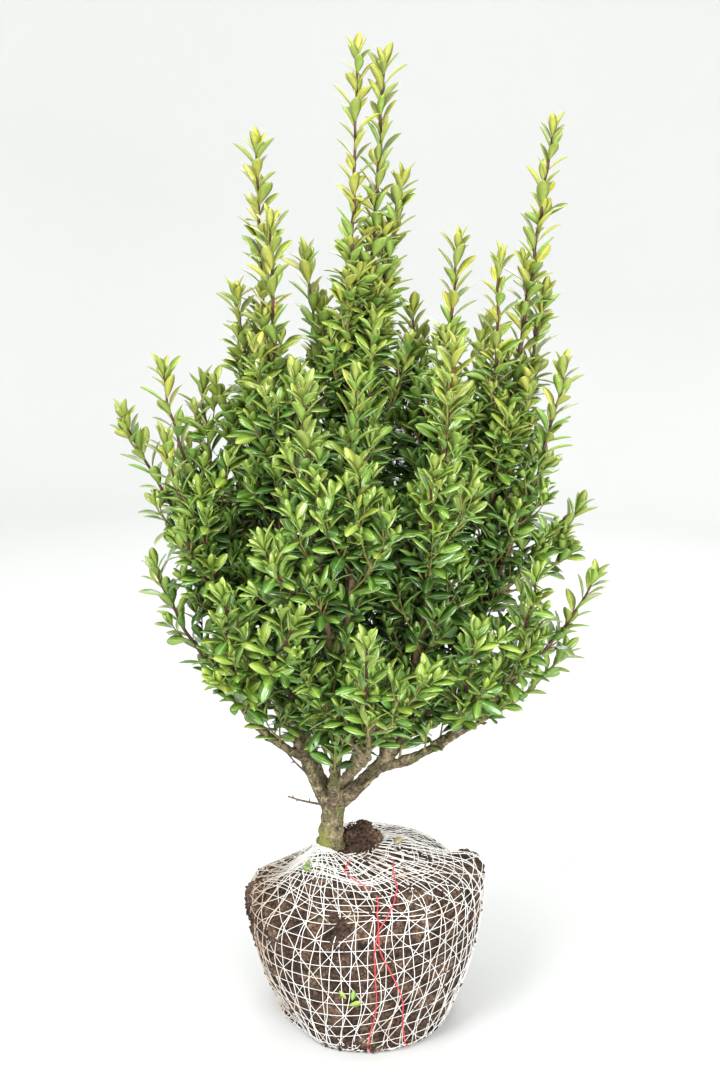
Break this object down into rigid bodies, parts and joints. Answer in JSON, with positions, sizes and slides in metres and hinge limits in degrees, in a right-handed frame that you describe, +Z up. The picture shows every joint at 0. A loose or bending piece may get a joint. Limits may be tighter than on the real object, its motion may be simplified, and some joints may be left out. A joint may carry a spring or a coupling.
{
  "type": "maximowicz holly shrub on a netted root ball",
  "caption": "Young evergreen holly shrub with a short forked trunk and upright leafy shoots, standing on its netted root ball.",
  "frame": {"origin": "the middle of the root ball's flat underside, on the surface that the plant stands on", "axes": "+Z up along the plant, +X to the viewer's right in the picture, +Y away from the viewer"},
  "size_m": [0.487, 0.4057, 1.015],
  "materials": {
    "soil": "rough crumbly dark brown field soil",
    "net_yarn": "white knitted netting of thin flat tape, slightly glossy",
    "bark": "thin smooth grey-beige bark with greenish patches and lenticels",
    "dead_wood": "dry dark bare twig",
    "leaf_green": "glossy mid to deep green leaves",
    "leaf_young": "glossy yellow-green young leaves"
  },
  "bodies": {
    "root": {"root_ball": "soil", "soil_mound": "soil", "netting": "net_yarn", "trunk": "bark", "bough_right": "bark", "bough_left": "bark", "bough_centre": "bark", "bough_front": "bark", "bough_back": "bark", "bough_back_left": "bark", "bough_left_low": "bark", "bough_left_up": "bark", "bough_right_low": "bark", "bough_right_up": "bark", "bough_front_low": "bark", "bough_back_low": "bark", "dead_twig_low": "dead_wood", "dead_twig_left": "dead_wood", "dead_twig_right": "dead_wood", "foliage_top_left": "leaf_young", "foliage_top_right": "leaf_young", "foliage_centre": "leaf_green", "foliage_left_tall": "leaf_young", "foliage_left_leader": "leaf_young", "foliage_right_leader": "leaf_young", "foliage_right_tall": "leaf_young", "foliage_right_side": "leaf_green", "foliage_left_outer": "leaf_green", "foliage_left_side": "leaf_green", "foliage_left_low": "leaf_green", "foliage_front_left_low": "leaf_green", "foliage_right_mid": "leaf_green", "foliage_right_low": "leaf_green", "foliage_front_right_low": "leaf_green", "foliage_front_left": "leaf_green", "foliage_front_centre": "leaf_green", "foliage_front_right": "leaf_young", "foliage_front_low": "leaf_green", "foliage_front_low_left": "leaf_green", "foliage_back_centre": "leaf_young", "foliage_back_right": "leaf_young", "foliage_back_left": "leaf_green", "foliage_back_low_left": "leaf_green", "foliage_back_low_right": "leaf_green", "foliage_back_low": "leaf_green"}
  },
  "joints": []
}
